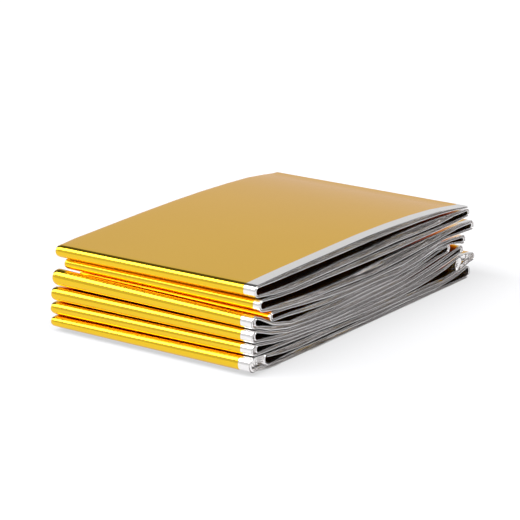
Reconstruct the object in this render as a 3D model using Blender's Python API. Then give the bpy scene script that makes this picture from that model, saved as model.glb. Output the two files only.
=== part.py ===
"""Emergency foil blanket in its folded pack.

One sheet of metallised film is gathered into a long band of many plies, and the band is folded back and
forth into a pack. The band is one solid here, as thick as its pressed plies. It is drawn in the XZ plane and
has its width along Y: +X is the side of the right-hand bends, -Y the end where the film's edges show, and the
pack rests on Z = 0.
"""

import math
from collections import namedtuple

import bmesh
import bpy
from mathutils import Vector

MM = 0.001

PACK_WIDTH = 88.9
BAND_THICKNESS = 1.0
BAND_BASE = BAND_THICKNESS / 2.0
PANEL_STEPS = 14
BEND_STEPS = 7
LEAST_STATION_GAP = 3.0
GOLD = (0.86, 0.6, 0.05, 1.0)
GOLD_ROUGHNESS = 0.22

# The places along the pack where each panel's middle surface has a stated height, besides its two tips.
STATIONS = (-54.0, -27.0, 0.0, 27.0, 50.0)
Panel = namedtuple(
    "Panel", "name left_end left_tip far_left left middle right far_right right_tip right_end"
)
PANELS = (
    Panel("top", -63.6, 30.27, 30.69, 31.46, 31.82, 31.09, 29.59, 28.15, 66.0),
    Panel("second", -63.6, 27.07, 26.39, 26.26, 26.52, 26.99, 26.89, 26.54, 67.3),
    Panel("third", -61.4, 24.56, 24.69, 24.26, 23.92, 24.19, 24.49, 23.94, 67.3),
    Panel("fourth", -61.4, 21.96, 21.39, 20.16, 19.12, 20.39, 21.39, 21.91, 69.8),
    Panel("fifth", -55.5, 19.20, 19.09, 17.96, 16.92, 17.89, 18.89, 18.91, 69.8),
    Panel("sixth", -55.5, 17.10, 16.99, 15.96, 15.42, 16.19, 17.19, 17.16, 64.8),
    Panel("seventh", -65.5, 19.99, 15.49, 14.56, 14.02, 14.79, 15.79, 15.36, 64.8),
    Panel("eighth", -65.5, 17.29, 13.89, 13.06, 12.52, 13.19, 14.29, 14.33, 56.0),
    Panel("ninth", -65.7, 14.79, 12.29, 11.46, 11.02, 11.69, 12.79, 12.83, 56.0),
    Panel("tenth", -65.7, 12.29, 10.79, 9.96, 9.52, 10.19, 11.29, 11.77, 63.2),
    Panel("eleventh", -65.7, 10.09, 9.19, 8.46, 8.12, 8.79, 9.79, 10.17, 63.2),
    Panel("twelfth", -65.7, 7.49, 7.39, 6.96, 6.72, 7.29, 8.29, 8.81, 70.0),
    Panel("thirteenth", -67.3, 5.61, 5.49, 5.46, 5.42, 5.59, 5.69, 7.21, 70.0),
    Panel("bottom", -67.3, 0.50, 0.50, 0.50, 0.50, 0.50, 0.50, 0.50, 68.2),
    Panel("tuck", -22.7, 2.55, 2.55, 2.55, 2.75, 3.05, 3.25, 3.65, 68.2),
)
# The top panel's right-hand end is the band's cut end, so the pack's first bend is a left-hand one.
FIRST_BEND_AT_LEFT = True

# Sections of the pack from the end of the film's edges to the far end. The swell scales the heights above
# the bottom panel, and the set-backs draw the bends in towards the pack's middle.
Section = namedtuple("Section", "place swell left_setback right_setback")
SECTIONS = (
    Section(-0.5, 1.0, 0.0, 0.3),
    Section(-0.36, 1.0, 0.1, 0.0),
    Section(-0.1, 1.0, 0.2, 0.0),
    Section(0.18, 0.99, 0.3, 0.2),
    Section(0.4, 0.985, 0.7, 0.6),
    Section(0.5, 0.98, 2.2, 2.0),
)

# The middle between the longest bends of the two sides, which is put over the origin.
MIDDLE_X = (min(panel.left_end for panel in PANELS) + max(panel.right_end for panel in PANELS)) / 2.0


def clear_scene():
    """Removes whatever the scene holds."""
    for old in list(bpy.data.objects):
        bpy.data.objects.remove(old)


def film_material():
    """The gold side of the metallised film."""
    material = bpy.data.materials.new("gold_film")
    material.use_nodes = True
    surface = material.node_tree.nodes["Principled BSDF"]
    surface.inputs["Base Color"].default_value = GOLD
    surface.inputs["Metallic"].default_value = 1.0
    surface.inputs["Roughness"].default_value = GOLD_ROUGHNESS
    material.diffuse_color = GOLD
    return material


def height_curve(panel):
    """The panel's stated heights as (x, height), from its left tip to its right tip."""
    between = zip(STATIONS, (panel.far_left, panel.left, panel.middle, panel.right, panel.far_right))
    low = panel.left_end + LEAST_STATION_GAP
    high = panel.right_end - LEAST_STATION_GAP
    inner = [(x, height) for x, height in between if low < x < high]
    tip = LEAST_STATION_GAP / 2.0
    return [(panel.left_end + tip, panel.left_tip), *inner, (panel.right_end - tip, panel.right_tip)]


def height_at(panel, x, swell):
    """Height of a panel's middle surface at x, on a smooth curve through its stated heights."""
    curve = height_curve(panel)
    x = min(max(x, curve[0][0]), curve[-1][0])
    span = max(index for index in range(len(curve) - 1) if curve[index][0] <= x)
    (x0, low), (x1, high) = curve[span : span + 2]
    slopes = []
    for index in (span, span + 1):
        before, after = curve[max(index - 1, 0)], curve[min(index + 1, len(curve) - 1)]
        slopes.append((after[1] - before[1]) / (after[0] - before[0]) * (x1 - x0))
    t = (x - x0) / (x1 - x0)
    height = low * (1 + 2 * t) * (1 - t) ** 2 + high * t * t * (3 - 2 * t)
    height += slopes[0] * t * (1 - t) ** 2 - slopes[1] * t * t * (1 - t)
    return BAND_BASE + (height - BAND_BASE) * swell


def bend_between(first, second, at_left, section):
    """The centre and radius of the half turn that joins two panels on one side of the pack."""
    side = -1.0 if at_left else 1.0
    end = first.left_end + section.left_setback if at_left else first.right_end - section.right_setback
    centre_x = end
    for _ in range(4):
        heights = [height_at(panel, centre_x, section.swell) for panel in (first, second)]
        radius = abs(heights[0] - heights[1]) / 2.0
        centre_x = end - side * (radius + BAND_BASE)
    return Vector((centre_x, sum(heights) / 2.0)), radius


def bend_points(centre, radius, at_left, downward):
    """Points round a half turn, without its two ends, which belong to the panels."""
    side = -1.0 if at_left else 1.0
    start = math.pi / 2.0 if downward else -math.pi / 2.0
    turn = -math.pi if downward else math.pi
    angles = (start + turn * step / BEND_STEPS for step in range(1, BEND_STEPS))
    return [centre + radius * Vector((side * math.cos(angle), math.sin(angle))) for angle in angles]


def band_line(section):
    """The band's middle line in one section of the pack, as points in X and Z, from the top panel down."""
    points = []
    at_left = FIRST_BEND_AT_LEFT
    start = PANELS[0].right_end - section.right_setback
    for panel, following in zip(PANELS, (*PANELS[1:], None)):
        if following:
            centre, radius = bend_between(panel, following, at_left, section)
            end = centre.x
        else:
            end = panel.left_end
        for step in range(PANEL_STEPS + 1):
            x = start + (end - start) * step / PANEL_STEPS
            points.append(Vector((x, height_at(panel, x, section.swell))))
        if following:
            downward = height_at(following, end, section.swell) < points[-1].y
            points += bend_points(centre, radius, at_left, downward)
            start = end
            at_left = not at_left
    return points


def outline(section):
    """The closed outline of the band's cut end in one section, half its thickness to each side of its line."""
    line = band_line(section)
    first, second = [], []
    for before, point, after in zip(line[:1] + line, line, line[1:] + line[-1:]):
        along = (after - before).normalized()
        across = Vector((-along.y, along.x)) * BAND_BASE
        first.append(point + across)
        second.append(point - across)
    return first + second[::-1]


def foil_sheet():
    """The folded band as one closed solid, run through its sections."""
    shape = bmesh.new()
    rings = []
    for section in SECTIONS:
        y = section.place * PACK_WIDTH
        places = (((point.x - MIDDLE_X) * MM, y * MM, point.y * MM) for point in outline(section))
        rings.append([shape.verts.new(place) for place in places])
    count = len(rings[0])
    for ring, following in zip(rings, rings[1:]):
        for index in range(count):
            after = (index + 1) % count
            shape.faces.new((ring[index], ring[after], following[after], following[index]))
    for ring in (rings[0], rings[-1]):
        for index in range(count // 2 - 1):
            opposite = count - 1 - index
            shape.faces.new((ring[index], ring[index + 1], ring[opposite - 1], ring[opposite]))
    bmesh.ops.recalc_face_normals(shape, faces=shape.faces)
    mesh = bpy.data.meshes.new("foil_sheet")
    shape.to_mesh(mesh)
    shape.free()
    mesh.materials.append(film_material())
    mesh.shade_smooth()
    mesh.set_sharp_from_angle(angle=math.radians(50.0))
    sheet = bpy.data.objects.new("foil_sheet", mesh)
    bpy.context.scene.collection.objects.link(sheet)
    return sheet


def main():
    clear_scene()
    foil_sheet()


main()
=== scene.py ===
"""Emergency foil blanket, a sheet of metallised film folded into its pack, in a plain studio.

The film is gathered into a long band of plies that run back and forth across the pack, and the
band is folded back and forth along the pack. Both rules are followed here, so the piece is one
sheet from edge to edge.
"""

import math
from collections import namedtuple

import bpy
import numpy as np
from bpy.props import FloatProperty, FloatVectorProperty, IntProperty, PointerProperty
from mathutils import Matrix, Vector


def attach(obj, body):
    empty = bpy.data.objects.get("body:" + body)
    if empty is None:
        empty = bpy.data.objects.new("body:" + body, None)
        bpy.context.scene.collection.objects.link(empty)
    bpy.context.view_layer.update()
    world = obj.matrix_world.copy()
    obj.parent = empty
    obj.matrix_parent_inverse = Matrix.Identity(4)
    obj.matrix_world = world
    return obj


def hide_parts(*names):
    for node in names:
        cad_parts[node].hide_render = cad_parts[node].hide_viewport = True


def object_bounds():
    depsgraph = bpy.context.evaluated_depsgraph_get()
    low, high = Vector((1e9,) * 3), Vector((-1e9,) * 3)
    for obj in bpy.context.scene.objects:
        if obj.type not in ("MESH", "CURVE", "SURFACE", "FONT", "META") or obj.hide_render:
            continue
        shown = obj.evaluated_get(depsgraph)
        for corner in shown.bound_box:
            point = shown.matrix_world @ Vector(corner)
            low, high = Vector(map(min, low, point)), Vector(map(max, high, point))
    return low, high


bl_info = {
    "name": "Foil blanket pack",
    "version": (1, 0, 0),
    "blender": (4, 5, 0),
    "location": "3D View > Sidebar > Foil blanket",
    "description": "Folds a sheet of metallised film into its pack, in a plain studio",
    "category": "Object",
}

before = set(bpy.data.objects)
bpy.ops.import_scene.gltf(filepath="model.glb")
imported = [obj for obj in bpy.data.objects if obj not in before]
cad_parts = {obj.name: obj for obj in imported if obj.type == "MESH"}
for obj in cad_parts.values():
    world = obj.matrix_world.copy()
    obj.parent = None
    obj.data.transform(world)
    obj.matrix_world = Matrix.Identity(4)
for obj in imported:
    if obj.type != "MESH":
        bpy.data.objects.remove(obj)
CAD_BOX = [list(corner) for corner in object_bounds()]
MM = 0.001
CLOTH_NODE = "foil_sheet"
FRONT_Y, BACK_Y = CAD_BOX[0][1] / MM, CAD_BOX[1][1] / MM
PACK_WIDTH = BACK_Y - FRONT_Y
# Attributes of the film's mesh.
FLAT_PLACE = "flat_place"
STACK_PLACE = "stack_place"
STACK_OUT = "stack_out"
BARE_STRIP = "bare_strip"

# --------------------------------------------------------------------------------------------------
# The fold plan, in millimetres. X runs along the pack, and -Y is the side where the film's
# edges show.

# The places along the pack where each panel's two faces have a stated height, between its two
# tips.
STATIONS = (-54.0, -27.0, 0.0, 27.0, 50.0, 60.0)
# upper and under are the heights of a panel's two faces at its left tip, the stations and its
# right tip. back_rise lifts its left tip at the far side of the pack.
Panel = namedtuple("Panel", "name left_end right_end back_rise upper under")
PANELS = (
    Panel(
        "top", -63.6, 66.0, 0.0,
        (31.2, 31.4, 32.0, 32.3, 31.8, 30.1, 28.75, 28.1),
        (30.1, 29.9, 29.9, 29.9, 29.8, 29.0, 28.0, 27.4),
    ),
    Panel(
        "second", -63.6, 67.3, 0.0,
        (27.6, 27.3, 27.6, 28.2, 28.7, 28.2, 27.5, 27.0),
        (26.6, 25.5, 25.0, 25.4, 25.4, 25.6, 26.3, 26.2),
    ),
    Panel(
        "third", -61.4, 67.3, 0.4,
        (25.6, 25.2, 24.7, 25.1, 25.1, 24.8, 24.7, 24.8),
        (24.6, 24.0, 23.3, 22.9, 22.9, 23.3, 23.6, 24.0),
    ),
    Panel(
        "fourth", -61.4, 70.2, 0.9,
        (22.2, 21.9, 20.6, 21.3, 22.5, 22.4, 22.5, 21.9),
        (21.1, 19.9, 18.2, 17.3, 18.0, 20.1, 20.9, 20.7),
    ),
    Panel(
        "fifth", -55.5, 70.2, 1.0,
        (19.8, 19.6, 18.0, 17.1, 17.7, 19.9, 19.5, 19.3),
        (18.8, 18.4, 16.5, 15.9, 16.2, 18.9, 18.5, 18.2),
    ),
    Panel(
        "sixth", -55.5, 64.5, 1.0,
        (17.3, 17.1, 16.3, 15.8, 16.0, 18.7, 17.8, 17.5),
        (16.3, 16.1, 14.2, 14.1, 14.2, 17.3, 16.9, 16.6),
    ),
    Panel(
        "seventh", -65.5, 64.5, 1.9,
        (20.7, 15.9, 14.1, 13.9, 14.1, 17.1, 15.8, 15.1),
        (19.6, 14.9, 11.8, 12.4, 13.0, 16.4, 15.0, 14.1),
    ),
    Panel(
        "eighth", -65.5, 54.0, 0.1,
        (17.2, 14.8, 11.6, 12.3, 12.9, 16.2, 16.4, 16.6),
        (16.1, 13.0, 10.4, 11.1, 11.9, 15.5, 15.6, 15.8),
    ),
    Panel(
        "ninth", -65.8, 54.0, 0.0,
        (15.8, 12.8, 10.2, 11.0, 11.8, 14.1, 14.1, 14.1),
        (14.8, 11.6, 8.8, 9.3, 10.1, 13.1, 13.2, 13.3),
    ),
    Panel(
        "tenth", -65.8, 63.0, -0.8,
        (12.3, 11.2, 8.6, 9.1, 9.9, 12.3, 13.4, 13.8),
        (11.3, 9.8, 7.7, 7.6, 8.2, 11.1, 12.4, 12.9),
    ),
    Panel(
        "eleventh", -66.0, 63.0, -0.9,
        (11.0, 9.6, 7.6, 7.4, 8.1, 10.4, 11.6, 11.8),
        (10.0, 8.4, 6.8, 6.0, 6.7, 8.8, 10.6, 10.9),
    ),
    Panel(
        "twelfth", -66.0, 70.5, -1.4,
        (7.8, 7.9, 6.7, 5.9, 6.6, 8.4, 10.4, 9.3),
        (6.8, 6.5, 5.6, 4.7, 4.8, 6.8, 9.4, 8.4),
    ),
    Panel(
        "thirteenth", -67.4, 70.5, -1.5,
        (6.6, 6.0, 5.4, 4.5, 4.6, 4.9, 5.3, 7.2),
        (5.5, 3.5, 3.2, 2.8, 2.9, 3.1, 4.2, 6.1),
    ),
    Panel(
        "bottom", -67.4, 68.5, 0.3,
        (2.6, 2.7, 2.9, 1.3, 1.4, 1.3, 1.2, 1.2),
        (1.3, 0.1, 0.05, 0.05, 0.05, 0.05, 0.05, 0.1),
    ),
    Panel(
        "tuck", -23.4, 68.5, 0.0,
        (2.4, 2.4, 2.4, 2.6, 2.8, 2.9, 3.8, 5.2),
        (1.6, 1.6, 1.6, 1.4, 1.7, 1.7, 2.9, 4.2),
    ),
)
LONGEST_LEFT = min(panel.left_end for panel in PANELS)
LONGEST_RIGHT = max(panel.right_end for panel in PANELS)
# The middle between the longest bends of the two ends, which is over the origin.
MIDDLE_X = (LONGEST_LEFT + LONGEST_RIGHT) / 2.0

# The bends in the order of the band. back_in draws a bend's far end towards the side of the
# edges, nest lets its innermost ply lie that far inside the outer one, bunch keeps the outer
# plies close to each other, and strip is the share of the bare strip's width that shows there.
Bend = namedtuple("Bend", "name back_in nest bunch strip steps")
BENDS = (
    Bend("left_first", 0.0, 0.0, 1.0, 1.0, 12),
    Bend("right_first", 1.0, 0.5, 1.0, 0.6, 8),
    Bend("left_second", 2.0, 0.2, 1.0, 0.5, 12),
    Bend("right_second", 0.5, 0.6, 1.0, 0.4, 8),
    Bend("left_third", 3.5, 0.3, 1.0, 0.15, 12),
    Bend("right_third", 1.5, 0.6, 1.0, 0.4, 8),
    Bend("left_fourth", -0.5, 1.0, 1.0, 1.0, 12),
    Bend("right_fourth", 2.5, 0.6, 1.0, 0.5, 8),
    Bend("left_fifth", -1.2, 1.2, 1.0, 1.0, 12),
    Bend("right_fifth", 1.0, 0.8, 1.0, 0.5, 8),
    Bend("left_sixth", -1.6, 2.0, 1.0, 1.0, 12),
    Bend("right_sixth", 0.0, 13.0, 4.0, 0.3, 8),
    Bend("left_seventh", -0.4, 8.0, 1.0, 1.0, 12),
    Bend("right_seventh", 1.0, 1.5, 1.0, 0.8, 8),
)
PANEL_STEPS = 12
# Stations closer to a bend than this are left to the tip, which lies TIP_INSET inside the bend.
LEAST_STATION_GAP = 3.0
TIP_INSET = 1.5
# How far inside a bend its two panels' heights set its radius, and how far along each panel
# that radius is blended in.
BEND_PROBE = 2.0
END_FADE = 8.0
# How far along the band, in panels, a bend draws its inner plies in.
NEST_REACH = 0.45

# Places across the pack, from the side of the edges at 0 to the far side at 1. The bare strip
# ends at STRIP_PLACE, and each bend is rounded off from ROUND_START on.
STRIP_PLACE = 0.052
ROUND_START = 0.982
OUTER_PLACES = (0.0, STRIP_PLACE, 0.2, 0.4, 0.6, 0.8, 0.93, ROUND_START, 0.994, 1.0)
INNER_PLACES = (0.0, 0.5, ROUND_START, 1.0)
# At the far side a bend is END_PULL shorter, and keeps these shares of its radius and thickness.
END_PULL = 0.3
END_RADIUS_SHARE = 0.85
END_THICKNESS_SHARE = 0.85
# How far along a panel the rise of its left tip fades out.
RISE_FADE = 14.0
# The far side's sag at the top of the pack, and where along the pack it fades out.
BACK_SAG = 0.6
SAG_FADE = (15.0, 60.0)

# The plies within the band. Each odd gap between them is closed by a loop at the front, and the
# others are open there. The lead loops, one next to each face of the band, are fuller than the
# rest: their heights are in millimetres, up to a share of the band's thickness. The other gaps
# share what is left by weight.
PLY_COUNT = 18
FINE_PLIES = (0, 1, PLY_COUNT - 2, PLY_COUNT - 1)
LOOP_STEPS = 3
LEAD_LOOPS = (1, PLY_COUNT - 3)
LEAD_LOOP_HEIGHTS = (0.16, 0.5)
LEAD_LOOP_SHARE = 0.36
LEAD_LOOP_LEAST = 0.3
LEAD_LOOP_CHANGE = (0.55, 0.75)
# How many points of the band a lead loop takes to change over at a bend.
FACING_WINDOW = 5
LEAST_GAP = 0.15
OPEN_GAP_WEIGHT = 1.6
LOOP_GAP_WEIGHT = 0.4
COVER_GAP_WEIGHT = 0.4
GAP_WAVE = 46.0
# How far the edges and the loops lie inside the front, and how far the loops at the far side
# wander.
SET_BACK_WAVE = 60.0
LOOP_SET_BACKS = (1.5, 3.0)
LEAD_SET_BACK = 0.15
EDGE_SET_BACK = 0.2
SIDE_ROOM = 0.06
BACK_WAVE = 0.3
LOOP_REACH = 0.12
FOLD_SEED = 7


def blend(low, high, share):
    return low + (high - low) * share


def smooth_step(share):
    share = np.clip(share, 0.0, 1.0)
    return share * share * (3.0 - 2.0 * share)


class Waves:
    """Smooth random curves of one variable that lie between 0 and 1."""

    OCTAVES = (1.0, 1.7, 2.9)
    STRETCH = (0.8, 1.25)
    # About how far the summed octaves range from their lowest to their highest.
    RANGE = 3.2

    def __init__(self, seed):
        self.random = np.random.default_rng(seed)

    def curve(self, at, length):
        """A curve at these places, which turns about once in every length."""
        total = np.zeros_like(at)
        for octave in self.OCTAVES:
            phase = self.random.uniform(0.0, 2.0 * math.pi)
            stretch = self.random.uniform(*self.STRETCH)
            total += np.sin(2.0 * math.pi * at * octave * stretch / length + phase) / octave
        return smooth_step(0.5 + total / self.RANGE)


# --------------------------------------------------------------------------------------------------
# The band's middle line


def face_curve(panel, heights):
    """The stated heights of one face of a panel as (x, height), from left tip to right tip."""
    low = panel.left_end + LEAST_STATION_GAP
    high = panel.right_end - LEAST_STATION_GAP
    inner = [(x, height) for x, height in zip(STATIONS, heights[1:-1]) if low < x < high]
    left_tip = (panel.left_end + TIP_INSET, heights[0])
    right_tip = (panel.right_end - TIP_INSET, heights[-1])
    return np.array([left_tip, *inner, right_tip])


def face_at(panel, heights, x):
    """Heights of one face of a panel at x, on a smooth curve. It is level at each bend, and free
    at the band's two ends."""
    xs, heights = face_curve(panel, heights).T
    slopes = np.gradient(heights, xs)
    slopes[0] *= panel is PANELS[-1]
    slopes[-1] *= panel is PANELS[0]
    x = np.clip(x, xs[0], xs[-1])
    span = np.clip(np.searchsorted(xs, x, side="right") - 1, 0, len(xs) - 2)
    width = xs[span + 1] - xs[span]
    t = (x - xs[span]) / width
    return (
        heights[span] * (1 + 2 * t) * (1 - t) ** 2
        + heights[span + 1] * t * t * (3 - 2 * t)
        + slopes[span] * width * t * (1 - t) ** 2
        - slopes[span + 1] * width * t * t * (1 - t)
    )


def height_at(panel, x):
    """Heights of a panel's middle surface at x."""
    return (face_at(panel, panel.upper, x) + face_at(panel, panel.under, x)) / 2.0


def thickness_at(panel, x):
    return face_at(panel, panel.upper, x) - face_at(panel, panel.under, x)


def tip_thickness(panel, at_left):
    tip = 0 if at_left else -1
    return panel.upper[tip] - panel.under[tip]


class BandLine:
    """The band's middle line at one place across the pack. With each point it keeps the band's
    thickness, the point's place among the bends, and its panel, or -1 on a bend."""

    def __init__(self, place):
        self.place = place
        rounding = max(0.0, (place - ROUND_START) / (1.0 - ROUND_START))
        self.closing = math.sqrt(max(0.0, 1.0 - rounding * rounding))
        self.points, self.thick, self.bend_place, self.panel_of = [], [], [], []
        start_x, start_shift = PANELS[0].right_end, 0.0
        for index, panel in enumerate(PANELS):
            at_left = index % 2 == 0
            if index < len(BENDS):
                centre, radius, shift = self.bend(index, at_left)
                self.add_panel(index, start_x, centre[0], start_shift, shift[0])
                self.add_bend(index, centre, radius, at_left)
                start_x, start_shift = centre[0], shift[1]
            else:
                self.add_panel(index, start_x, panel.left_end, start_shift, 0.0)
        self.points = np.array(self.points)
        self.thick = np.array(self.thick) * blend(END_THICKNESS_SHARE, 1.0, self.closing)
        self.bend_place = np.array(self.bend_place)
        self.panel_of = np.array(self.panel_of)
        fade = smooth_step((self.points[:, 0] - SAG_FADE[0]) / (SAG_FADE[1] - SAG_FADE[0]))
        sag = BACK_SAG * place * (1.0 - fade)
        self.points[:, 1] -= sag * self.points[:, 1] / PANELS[0].upper[0]

    def height(self, panel, x):
        rise = self.place * panel.back_rise
        fade = smooth_step((x - panel.left_end) / RISE_FADE)
        return height_at(panel, x) + rise * (1.0 - fade)

    def bend(self, index, at_left):
        """Centre and radius of the half turn after a panel, and how far it moves the tips of its
        two panels."""
        panel, following = PANELS[index], PANELS[index + 1]
        side = -1.0 if at_left else 1.0
        end = panel.left_end if at_left else panel.right_end
        thick = tip_thickness(panel, at_left) * blend(END_THICKNESS_SHARE, 1.0, self.closing)
        full = np.array([end - side * BEND_PROBE])
        upper, lower = self.height(panel, full)[0], self.height(following, full)[0]
        middle = (upper + lower) / 2.0
        radius = (upper - lower) / 2.0 * blend(END_RADIUS_SHARE, 1.0, self.closing)
        reach = abs(radius) + thick / 2.0 + END_PULL * (1.0 - self.closing)
        centre_x = end - side * reach
        at_centre = np.array([centre_x])
        shifts = (
            middle + radius - self.height(panel, at_centre)[0],
            middle - radius - self.height(following, at_centre)[0],
        )
        return (centre_x, middle), radius, shifts

    def add_panel(self, index, start, end, start_shift, end_shift):
        """Points along a panel, closer together towards its two bends."""
        panel = PANELS[index]
        share = (1.0 - np.cos(np.pi * np.arange(PANEL_STEPS + 1) / PANEL_STEPS)) / 2.0
        x = blend(start, end, share)
        heights = self.height(panel, x)
        heights += start_shift * (1.0 - smooth_step(np.abs(x - start) / END_FADE))
        heights += end_shift * (1.0 - smooth_step(np.abs(x - end) / END_FADE))
        self.points += list(zip(x, heights))
        self.thick += list(thickness_at(panel, x))
        self.bend_place += list(np.clip(index - 1 + share, 0.0, len(BENDS) - 1.0))
        self.panel_of += [index] * len(x)

    def add_bend(self, index, centre, radius, at_left):
        """Points round the half turn after a panel."""
        side = -1.0 if at_left else 1.0
        thick = [tip_thickness(panel, at_left) for panel in PANELS[index : index + 2]]
        for step in range(1, BENDS[index].steps):
            share = step / BENDS[index].steps
            x = centre[0] + side * abs(radius) * math.sin(math.pi * share)
            self.points.append((x, centre[1] + radius * math.cos(math.pi * share)))
            self.thick.append(blend(*thick, share))
            self.bend_place.append(float(index))
            self.panel_of.append(-1)

    def nested(self, share):
        """The line's points for a ply at this share, 0 to 1, of the way from a bend's outside to
        its inside."""
        nests = np.array([bend.nest for bend in BENDS])
        bunches = np.array([bend.bunch for bend in BENDS])
        sides = np.where(np.arange(len(BENDS)) % 2 == 0, 1.0, -1.0)
        at_bend = np.round(self.bend_place).astype(int)
        nearness = 1.0 - smooth_step(np.abs(self.bend_place - at_bend) / NEST_REACH)
        inward = np.where(sides[at_bend] > 0, share, 1.0 - share) ** bunches[at_bend]
        points = self.points.copy()
        points[:, 0] += sides[at_bend] * nests[at_bend] * inward * nearness
        for index in range(len(PANELS)):
            rows = np.flatnonzero(self.panel_of == index)
            known = self.points[rows[np.argsort(self.points[rows, 0])]]
            points[rows, 1] = np.interp(points[rows, 0], known[:, 0], known[:, 1])
        return points


def normals_of(points):
    """Unit normals of a line in the XZ plane, on the side that faces up on the first panel."""
    along = np.gradient(points, axis=0)
    along /= np.linalg.norm(along, axis=1)[:, None]
    return np.stack([along[:, 1], -along[:, 0]], axis=1)


# --------------------------------------------------------------------------------------------------
# The plies


class Plies:
    """Where each ply lies within the band, along the whole of it."""

    def __init__(self):
        waves = Waves(FOLD_SEED)
        middle = BandLine(0.5)
        steps = np.linalg.norm(np.diff(middle.points, axis=0), axis=1)
        self.along = np.concatenate([[0.0], np.cumsum(steps)])
        # Each ply's place across the band, as shares of its thickness from 0.5 down to -0.5.
        gaps = self.gap_heights(waves, middle)
        start = np.zeros((1, len(self.along)))
        self.offsets = 0.5 - np.concatenate([start, np.cumsum(gaps, axis=0)])
        self.front_in = [self.set_back(waves, ply) for ply in range(PLY_COUNT)]
        self.back_in = [
            BACK_WAVE * waves.curve(self.along, SET_BACK_WAVE) for _ in range(PLY_COUNT)
        ]
        self.middle_thick = middle.thick

    def gap_heights(self, waves, middle):
        """Height of the gap after each ply, as shares of the band's thickness."""
        gaps = []
        for gap in range(PLY_COUNT - 1):
            weight = LOOP_GAP_WEIGHT if gap % 2 else OPEN_GAP_WEIGHT
            gaps.append(weight * (LEAST_GAP + waves.curve(self.along, GAP_WAVE) ** 2))
        for gap in (0, -1):
            gaps[gap] += COVER_GAP_WEIGHT
        gaps = np.array(gaps)
        # The loop that lies lower is the fuller one, and each bend turns the band over.
        facing = np.where(middle.panel_of % 2 == 0, 1.0, -1.0)
        facing = np.pad(np.where(middle.panel_of < 0, 0.0, facing), FACING_WINDOW // 2, "edge")
        window = np.full(FACING_WINDOW, 1.0 / FACING_WINDOW)
        lower = 0.5 + 0.5 * np.convolve(facing, window, "valid")
        least, change = LEAD_LOOP_CHANGE
        for gap, share in zip(LEAD_LOOPS, (1.0 - lower, lower)):
            share = share * (least + change * waves.curve(self.along, GAP_WAVE))
            height = blend(*LEAD_LOOP_HEIGHTS, share) / middle.thick
            gaps[gap] = np.minimum(height, LEAD_LOOP_SHARE * (LEAD_LOOP_LEAST + share))
        lead = gaps[list(LEAD_LOOPS)].sum(axis=0)
        rest = [gap for gap in range(PLY_COUNT - 1) if gap not in LEAD_LOOPS]
        gaps[rest] *= (1.0 - lead) / gaps[rest].sum(axis=0)
        return gaps

    def set_back(self, waves, ply):
        """How far this ply's edge or loop lies inside the pack's front, along the band."""
        curve = waves.curve(self.along, SET_BACK_WAVE)
        if ply in (0, PLY_COUNT - 1):
            return EDGE_SET_BACK * curve
        pair = ply if ply % 2 else ply - 1
        if pair in LEAD_LOOPS:
            return LEAD_SET_BACK * curve
        return blend(*LOOP_SET_BACKS, curve)


def columns_of_sheet():
    """(ply, place across the pack, angle round the loop or None) of each column, from one edge of
    the film to the other."""
    columns = []
    for ply in range(PLY_COUNT):
        places = OUTER_PLACES if ply in FINE_PLIES else INNER_PLACES
        forward = ply % 2 == 0
        columns += [(ply, place, None) for place in (places if forward else places[::-1])]
        if ply < PLY_COUNT - 1:
            for step in range(1, LOOP_STEPS):
                columns.append((ply, 1.0 if forward else 0.0, math.pi * step / LOOP_STEPS))
    return columns


def column_points(plies, lines, nests, column):
    """Points and normals of one column of the film, along the whole band."""
    ply, place, angle = column
    line = lines[place]
    following = min(ply + 1, PLY_COUNT - 1)
    turn, sink = 0.0, 0.0
    if angle is not None:
        turn, sink = (1.0 - math.cos(angle)) / 2.0, math.sin(angle)
    offset, front, back = (
        blend(values[ply], values[following], turn)
        for values in (plies.offsets, plies.front_in, plies.back_in)
    )
    base, normal = (
        blend(here, there, turn) for here, there in zip(nests(place, ply), nests(place, following))
    )
    points = base + normal * (offset * line.thick)[:, None]
    half_gap = np.abs(plies.offsets[ply] - plies.offsets[following]) * plies.middle_thick / 2.0
    reach = (LOOP_REACH + half_gap) * sink
    drawn, strip = (
        np.interp(line.bend_place, np.arange(len(BENDS)), shares)
        for shares in ([bend.back_in for bend in BENDS], [bend.strip for bend in BENDS])
    )
    low = FRONT_Y + SIDE_ROOM + front - (reach if place == 0.0 else 0.0)
    high = BACK_Y - SIDE_ROOM - back - drawn + (reach if place == 1.0 else 0.0)
    y = blend(low, high, place * (strip if place == STRIP_PLACE else 1.0))
    return np.stack([points[:, 0] - MIDDLE_X, y, points[:, 1]], axis=1), normal


SheetMesh = namedtuple("SheetMesh", "points faces bare rim flat stack lifts")


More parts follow.
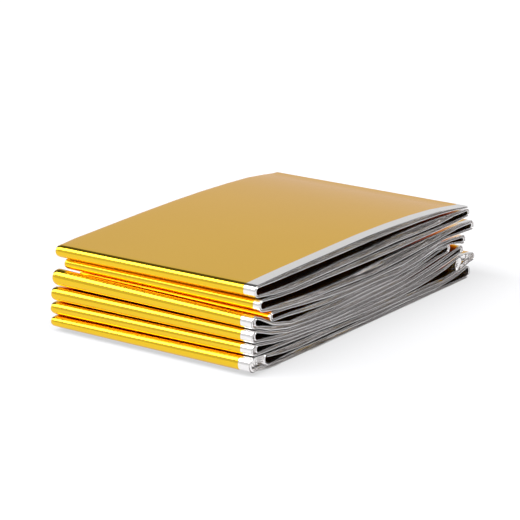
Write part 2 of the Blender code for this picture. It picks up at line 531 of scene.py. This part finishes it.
def build_sheet():
    """The folded film as one grid. flat is each point's place on the flat film. stack is its
    place on the pack's layers, the same for all the plies that lie on each other, and lifts is
    the way out of the stack there."""
    plies = Plies()
    columns = columns_of_sheet()
    lines = {place: BandLine(place) for _, place, _ in columns}
    known = {}

    def nests(place, ply):
        if (place, ply) not in known:
            points = lines[place].nested(ply / (PLY_COUNT - 1.0))
            known[place, ply] = (points, normals_of(points))
        return known[place, ply]

    made = [column_points(plies, lines, nests, column) for column in columns]
    grid = np.array([points for points, _ in made]) * MM
    lifts = np.array([np.insert(normal, 1, 0.0, axis=1) for _, normal in made])
    stack = np.zeros_like(grid)
    stack[:, :, 0] = np.array([place for _, place, _ in columns])[:, None] * PACK_WIDTH * MM
    stack[:, :, 1] = plies.along[None, :] * MM
    steps = np.linalg.norm(np.diff(grid, axis=0), axis=2).mean(axis=1)
    across = np.concatenate([[0.0], np.cumsum(steps)])
    count, length = grid.shape[:2]
    flat = np.zeros((count, length, 3))
    flat[:, :, 0] = across[:, None]
    flat[:, :, 1] = plies.along[None, :] * MM
    index = np.arange(count * length).reshape(count, length)
    corners = (index[:-1, :-1], index[1:, :-1], index[1:, 1:], index[:-1, 1:])
    faces = np.stack([corner.ravel() for corner in corners], axis=1)
    bare = [
        ply in (0, PLY_COUNT - 1) and angle is None and max(place, following) <= STRIP_PLACE
        for (ply, place, angle), (_, following, _) in zip(columns, columns[1:])
    ]
    bare = np.repeat(bare, length - 1)
    rim = np.zeros((count, length), bool)
    rim[[0, -1], :] = True
    rim[:, [0, -1]] = True
    return SheetMesh(grid.reshape(-1, 3), faces, bare, rim.ravel(), flat, stack, lifts)


# --------------------------------------------------------------------------------------------------
# Shader maths


class Value:
    """An output socket, so that shader maths can be written as plain expressions."""

    def __init__(self, graph, socket):
        self.graph = graph
        self.socket = socket

    def maths(self, operation, *values):
        return self.graph.node("ShaderNodeMath", {"operation": operation}, values)

    def __add__(self, other):
        return self.maths("ADD", self, other)

    def __sub__(self, other):
        return self.maths("SUBTRACT", self, other)

    def __rsub__(self, other):
        return self.maths("SUBTRACT", other, self)

    def __mul__(self, other):
        return self.maths("MULTIPLY", self, other)

    def __rtruediv__(self, other):
        return self.maths("DIVIDE", other, self)

    def __neg__(self):
        return self.maths("MULTIPLY", self, -1.0)

    __radd__ = __add__
    __rmul__ = __mul__


class Graph:
    """A node tree of a material, a world or a shape, with one method that adds any node."""

    def __init__(self, tree):
        self.tree = tree
        tree.nodes.clear()

    def node(self, kind, settings=None, values=(), output=0):
        """Adds a node of this kind and returns one output. values has a value or a link for each
        named socket."""
        made = self.tree.nodes.new(kind)
        for name, setting in (settings or {}).items():
            setattr(made, name, setting)
        named = values.items() if isinstance(values, dict) else enumerate(values)
        for name, value in named:
            if isinstance(value, Value):
                self.tree.links.new(value.socket, made.inputs[name])
            else:
                made.inputs[name].default_value = value
        return Value(self, made.outputs[output]) if made.outputs else None

    def between(self, value, low, high, at_low=0.0, at_high=1.0):
        """Goes smoothly from at_low to at_high as the value goes from low to high."""
        settings = {"interpolation_type": "SMOOTHSTEP"}
        return self.node("ShaderNodeMapRange", settings, (value, low, high, at_low, at_high))

    def mixed(self, share, first, second):
        """A colour between two colours."""
        values = {0: share, 6: first, 7: second}
        return self.node("ShaderNodeMix", {"data_type": "RGBA"}, values, output=2)

    def noise(self, place, scale, detail):
        values = {"Vector": place, "Scale": scale, "Detail": detail}
        return self.node("ShaderNodeTexNoise", {}, values)


WHITE = (1.0, 1.0, 1.0, 1.0)
MOTTLING_SCALE = 30.0
MOTTLING_DETAIL = 2.0
# The film's colour where the mottling is darkest, and its least roughness and what is added to it.
MOTTLED_SHADE = 0.95
MOTTLED_ROUGHNESS = (0.85, 0.3)
# The grain is drawn out along the band.
GRAIN_STRETCH = (1.0, 0.15, 1.0)
GRAIN_SCALE = 900.0
GRAIN_DETAIL = 3.0
GRAIN_STRENGTH = 0.05
GRAIN_DEPTH = 0.05 * MM


def film_material(name, colour, tint, roughness):
    """Thin metallised film: a bright metal with the faint mottling and grain of its making."""
    material = bpy.data.materials.new(name)
    material.use_nodes = True
    graph = Graph(material.node_tree)
    place = graph.node("ShaderNodeAttribute", {"attribute_name": FLAT_PLACE}, output=1)
    mottling = graph.noise(place, MOTTLING_SCALE, MOTTLING_DETAIL)
    stretched = graph.node(
        "ShaderNodeVectorMath", {"operation": "MULTIPLY"}, (place, GRAIN_STRETCH)
    )
    grain = graph.noise(stretched, GRAIN_SCALE, GRAIN_DETAIL)
    darkest = [channel * MOTTLED_SHADE for channel in colour]
    shade = graph.mixed(mottling, (*darkest, 1.0), (*colour, 1.0))
    least, change = MOTTLED_ROUGHNESS
    bump = graph.node(
        "ShaderNodeBump",
        {},
        {"Strength": GRAIN_STRENGTH, "Distance": GRAIN_DEPTH, "Height": grain},
    )
    shader = graph.node(
        "ShaderNodeBsdfPrincipled",
        {},
        {
            "Base Color": shade,
            "Metallic": 1.0,
            "Roughness": roughness * (least + change * mottling),
            "Specular Tint": (*tint, 1.0),
            "Normal": bump,
        },
    )
    graph.node("ShaderNodeOutputMaterial", {}, {"Surface": shader})
    return material


# --------------------------------------------------------------------------------------------------
# Settings


class FilmSettings(bpy.types.PropertyGroup):
    thickness: FloatProperty(
        name="Thickness",
        description="Thickness of the film as drawn",
        default=0.012 * MM,
        unit="LENGTH",
    )
    wrinkle_height: FloatProperty(
        name="Wrinkle height",
        description="Depth of the film's soft wrinkles",
        default=0.05 * MM,
        unit="LENGTH",
    )
    wrinkle_size: FloatProperty(
        name="Wrinkle size",
        description="Distance between wrinkles",
        default=28.0 * MM,
        unit="LENGTH",
    )
    seed: IntProperty(name="Seed", description="Chooses one pattern of wrinkles", default=3)
    gold: FloatVectorProperty(
        name="Gold",
        description="Colour of the lacquered side",
        default=(0.86, 0.56, 0.03),
        subtype="COLOR",
    )
    gold_edge: FloatVectorProperty(
        name="Gold edge",
        description="Tint of the gold side at low angles",
        default=(1.0, 0.83, 0.8),
        subtype="COLOR",
    )
    silver: FloatVectorProperty(
        name="Silver",
        description="Colour of the bare side",
        default=(0.88, 0.865, 0.86),
        subtype="COLOR",
    )
    gold_roughness: FloatProperty(
        name="Gold roughness",
        description="Roughness of the lacquered side",
        default=0.14,
        subtype="FACTOR",
    )
    silver_roughness: FloatProperty(
        name="Silver roughness",
        description="Roughness of the bare side",
        default=0.16,
        subtype="FACTOR",
    )


class StudioSettings(bpy.types.PropertyGroup):
    floor: FloatVectorProperty(
        name="Floor", description="Colour of the floor", default=(0.3, 0.3, 0.31), subtype="COLOR"
    )
    floor_glow: FloatProperty(
        name="Floor glow", description="Light that the floor gives off", default=0.62
    )
    wall_light: FloatProperty(
        name="Wall light", description="Brightness of the side wall", default=0.74
    )
    top_light: FloatProperty(
        name="Top light", description="Brightness of the light overhead", default=2.6
    )
    side_light: FloatProperty(
        name="Side light", description="Brightness of the light beside the bends", default=7.0
    )
    back_light: FloatProperty(
        name="Back light", description="Brightness of the backdrop", default=0.74
    )
    front_light: FloatProperty(
        name="Front light", description="Brightness on the side of the edges", default=0.1
    )
    dark: FloatProperty(name="Dark", description="Brightness between the lights", default=0.1)


# --------------------------------------------------------------------------------------------------
# Pieces


def wrinkle_tree():
    """Moves the film in and out of the stack by soft noise, the same for all the plies that lie
    on each other, and gives its lacquer and its bare strip their materials."""
    tree = bpy.data.node_groups.new("Film wrinkles", "GeometryNodeTree")
    graph = Graph(tree)
    tree.interface.new_socket("Film", in_out="INPUT", socket_type="NodeSocketGeometry")
    for name, kind in (
        ("Wrinkle height", "NodeSocketFloat"),
        ("Wrinkle size", "NodeSocketFloat"),
        ("Seed", "NodeSocketInt"),
        ("Lacquered side", "NodeSocketMaterial"),
        ("Bare side", "NodeSocketMaterial"),
    ):
        tree.interface.new_socket(name, in_out="INPUT", socket_type=kind)
    tree.interface.new_socket("Film", in_out="OUTPUT", socket_type="NodeSocketGeometry")
    made = tree.nodes.new("NodeGroupInput")
    film, height, size, seed, gold, silver = (Value(graph, socket) for socket in made.outputs[:6])
    place, out, bare = (
        graph.node("GeometryNodeInputNamedAttribute", {"data_type": kind}, (name,))
        for name, kind in (
            (STACK_PLACE, "FLOAT_VECTOR"),
            (STACK_OUT, "FLOAT_VECTOR"),
            (BARE_STRIP, "BOOLEAN"),
        )
    )
    noise = graph.node(
        "ShaderNodeTexNoise",
        {"noise_dimensions": "4D"},
        {"Vector": place, "W": seed, "Scale": 1.0 / size, "Detail": 1.0},
    )
    lift = (noise - 0.5) * 2.0 * height
    offset = graph.node("ShaderNodeVectorMath", {"operation": "SCALE"}, {0: out, "Scale": lift})
    moved = graph.node("GeometryNodeSetPosition", {}, {"Geometry": film, "Offset": offset})
    real = graph.node("GeometryNodeRealizeInstances", {}, {"Geometry": moved})
    lacquered = graph.node("GeometryNodeSetMaterial", {}, {"Geometry": real, "Material": gold})
    done = graph.node(
        "GeometryNodeSetMaterial",
        {},
        {"Geometry": lacquered, "Selection": bare, "Material": silver},
    )
    graph.node("NodeGroupOutput", {}, (done,))
    return tree


def set_input(modifier, name, value):
    for item in modifier.node_group.interface.items_tree:
        if item.item_type == "SOCKET" and item.in_out == "INPUT" and item.name == name:
            modifier[item.identifier] = value


def draft_film(materials):
    """The folded film before its wrinkles, with the attributes that they and the materials read."""
    sheet = build_sheet()
    mesh = bpy.data.meshes.new("film_draft")
    mesh.from_pydata(sheet.points.tolist(), [], sheet.faces.tolist(), shade_flat=False)
    for name, values in (
        (FLAT_PLACE, sheet.flat),
        (STACK_PLACE, sheet.stack),
        (STACK_OUT, sheet.lifts),
    ):
        attribute = mesh.attributes.new(name, "FLOAT_VECTOR", "POINT")
        attribute.data.foreach_set("vector", values.ravel())
    mesh.attributes.new(BARE_STRIP, "BOOLEAN", "FACE").data.foreach_set("value", sheet.bare)
    ends = np.zeros(len(mesh.edges) * 2, np.int32)
    mesh.edges.foreach_get("vertices", ends)
    sharp = mesh.attributes.new("sharp_edge", "BOOLEAN", "EDGE")
    sharp.data.foreach_set("value", sheet.rim[ends.reshape(-1, 2)].all(axis=1))
    for material in materials:
        mesh.materials.append(material)
    draft = bpy.data.objects.new("film_draft", mesh)
    bpy.context.scene.collection.objects.link(draft)
    return draft


def fold_film(settings):
    """The whole folded film, wrinkled and as thick as it is drawn."""
    gold = film_material("gold_side", settings.gold, settings.gold_edge, settings.gold_roughness)
    silver = film_material("silver_side", settings.silver, WHITE[:3], settings.silver_roughness)
    draft = draft_film((gold, silver))
    wrinkles = draft.modifiers.new("Wrinkles", "NODES")
    wrinkles.node_group = wrinkle_tree()
    for name, value in (
        ("Wrinkle height", settings.wrinkle_height),
        ("Wrinkle size", settings.wrinkle_size),
        ("Seed", settings.seed),
        ("Lacquered side", gold),
        ("Bare side", silver),
    ):
        set_input(wrinkles, name, value)
    graph = bpy.context.evaluated_depsgraph_get()
    shape = bpy.data.meshes.new_from_object(draft.evaluated_get(graph))
    bpy.data.objects.remove(draft)
    film = bpy.data.objects.new("folded_foil_film", shape)
    bpy.context.scene.collection.objects.link(film)
    walls = film.modifiers.new("Film thickness", "SOLIDIFY")
    walls.thickness = settings.thickness
    walls.offset = -1.0
    walls.material_offset = 1
    walls.material_offset_rim = 1
    return film


class FOIL_OT_fold_blanket(bpy.types.Operator):
    """Fold the film into its pack"""

    bl_idname = "foil.fold_blanket"
    bl_label = "Fold the blanket"

    def execute(self, context):
        film = fold_film(context.scene.foil_film)
        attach(film, "root")
        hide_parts(CLOTH_NODE)
        return {"FINISHED"}


# --------------------------------------------------------------------------------------------------
# Studio

# The camera's direction from the pack and its tilt, and how far it stands back, to the right and
# up in millimetres. Its clipping distances, and the floor's radius, are in metres.
CAMERA_TURN = math.radians(-52.105)
CAMERA_RISE = math.radians(17.094)
CAMERA_ROLL = math.radians(-1.321)
CAMERA_DISTANCE = 911.94
CAMERA_RIGHT = -2.265
CAMERA_UP = 15.809
CAMERA_LENS = 173.1
CAMERA_CLIP = (0.01, 20.0)
GLOSSY_BOUNCES = 12
FLOOR_RADIUS = 2.5
FLOOR_STEP = 5
# Where each light starts and ends, as an angle over the pack. It goes from the horizon on the
# left bends' side at 0 to the other horizon at 180 degrees.
WALL_END = (35.0, 45.0)
OVERHEAD_START, OVERHEAD_END = (65.0, 70.0), (106.0, 116.0)
BESIDE_START, BESIDE_END = (40.0, 45.0), (74.0, 82.0)
BACKDROP_START = (136.0, 144.0)
# Where the light from the side of the edges fades out, as the Y of its direction.
FRONT_FADE = (-0.25, 0.25)


def make_camera():
    camera = bpy.data.objects.new("camera", bpy.data.cameras.new("camera"))
    bpy.context.scene.collection.objects.link(camera)
    camera.data.lens = CAMERA_LENS
    camera.data.clip_start, camera.data.clip_end = CAMERA_CLIP
    level = Vector((math.cos(CAMERA_TURN), math.sin(CAMERA_TURN), 0.0))
    ahead = Vector((-level.y, level.x, 0.0))
    back = Vector((0.0, 0.0, math.sin(CAMERA_RISE))) - ahead * math.cos(CAMERA_RISE)
    upright = back.cross(level)
    right = level * math.cos(CAMERA_ROLL) + upright * math.sin(CAMERA_ROLL)
    up = upright * math.cos(CAMERA_ROLL) - level * math.sin(CAMERA_ROLL)
    place = back * CAMERA_DISTANCE + right * CAMERA_RIGHT + up * CAMERA_UP
    place.x -= MIDDLE_X
    turn = Matrix((right, up, back)).transposed().to_4x4()
    camera.matrix_world = Matrix.Translation(place * MM) @ turn
    bpy.context.scene.camera = camera


def make_floor(settings):
    mesh = bpy.data.meshes.new("floor")
    ring = [
        (FLOOR_RADIUS * math.cos(turn), FLOOR_RADIUS * math.sin(turn), CAD_BOX[0][2])
        for turn in map(math.radians, range(0, 360, FLOOR_STEP))
    ]
    mesh.from_pydata(ring, [], [list(range(len(ring)))])
    floor = bpy.data.objects.new("floor", mesh)
    bpy.context.scene.collection.objects.link(floor)
    material = bpy.data.materials.new("floor_paper")
    material.use_nodes = True
    graph = Graph(material.node_tree)
    shader = graph.node(
        "ShaderNodeBsdfPrincipled",
        {},
        {
            "Base Color": (*settings.floor, 1.0),
            "Roughness": 1.0,
            "Specular IOR Level": 0.0,
            "Emission Color": WHITE,
            "Emission Strength": settings.floor_glow,
        },
    )
    graph.node("ShaderNodeOutputMaterial", {}, {"Surface": shader})
    mesh.materials.append(material)


def light_world(settings):
    """Soft lights all round, as brightness by direction. What the camera sees behind the pack is
    plain white."""
    world = bpy.data.worlds.new("studio")
    bpy.context.scene.world = world
    world.use_nodes = True
    graph = Graph(world.node_tree)
    direction = graph.node("ShaderNodeTexCoord")
    parts = graph.tree.nodes.new("ShaderNodeSeparateXYZ")
    graph.tree.links.new(direction.socket, parts.inputs[0])
    x, y, z = (Value(graph, socket) for socket in parts.outputs)
    over = graph.node("ShaderNodeMath", {"operation": "ARCTAN2"}, (z, -x)) * math.degrees(1.0)
    wall = graph.between(over, *WALL_END, 1.0, 0.0)
    front = graph.between(y, *FRONT_FADE, 1.0, 0.0)
    overhead = graph.between(over, *OVERHEAD_START) * graph.between(over, *OVERHEAD_END, 1.0, 0.0)
    beside = graph.between(over, *BESIDE_START) * graph.between(over, *BESIDE_END, 1.0, 0.0)
    backdrop = graph.between(over, *BACKDROP_START) * (1.0 - front)
    level = (
        settings.dark
        + front * (settings.front_light - settings.dark)
        + wall * (settings.wall_light - settings.dark)
        + overhead * front * (settings.top_light - settings.dark)
        + beside * (1.0 - front) * (settings.side_light - settings.dark)
        + backdrop * (settings.back_light - settings.dark)
    )
    studio = graph.node("ShaderNodeBackground", {}, {"Color": WHITE, "Strength": level})
    plain = graph.node("ShaderNodeBackground", {}, {"Color": WHITE, "Strength": 1.0})
    seen = graph.node("ShaderNodeLightPath")
    mixed = graph.node("ShaderNodeMixShader", {}, (seen, studio, plain))
    graph.node("ShaderNodeOutputWorld", {}, {"Surface": mixed})


class FOIL_OT_set_stage(bpy.types.Operator):
    """Set the floor, the lights and the camera"""

    bl_idname = "foil.set_stage"
    bl_label = "Set the stage"

    def execute(self, context):
        settings = context.scene.foil_studio
        context.scene.view_settings.view_transform = "Standard"
        context.scene.cycles.glossy_bounces = GLOSSY_BOUNCES
        context.scene.cycles.caustics_reflective = False
        make_camera()
        make_floor(settings)
        light_world(settings)
        return {"FINISHED"}


class FOIL_PT_blanket(bpy.types.Panel):
    bl_label = "Foil blanket"
    bl_idname = "FOIL_PT_blanket"
    bl_space_type = "VIEW_3D"
    bl_region_type = "UI"
    bl_category = "Foil blanket"

    def draw(self, context):
        for settings, operator in (
            (context.scene.foil_film, FOIL_OT_fold_blanket),
            (context.scene.foil_studio, FOIL_OT_set_stage),
        ):
            box = self.layout.box()
            for name in settings.__annotations__:
                box.prop(settings, name)
            box.operator(operator.bl_idname)


CLASSES = (FilmSettings, StudioSettings, FOIL_OT_fold_blanket, FOIL_OT_set_stage, FOIL_PT_blanket)


def register():
    for each in CLASSES:
        bpy.utils.register_class(each)
    bpy.types.Scene.foil_film = PointerProperty(type=FilmSettings)
    bpy.types.Scene.foil_studio = PointerProperty(type=StudioSettings)


def unregister():
    del bpy.types.Scene.foil_studio
    del bpy.types.Scene.foil_film
    for each in reversed(CLASSES):
        bpy.utils.unregister_class(each)


def main():
    register()
    bpy.ops.foil.set_stage()
    bpy.ops.foil.fold_blanket()


if __name__ == "__main__":
    main()
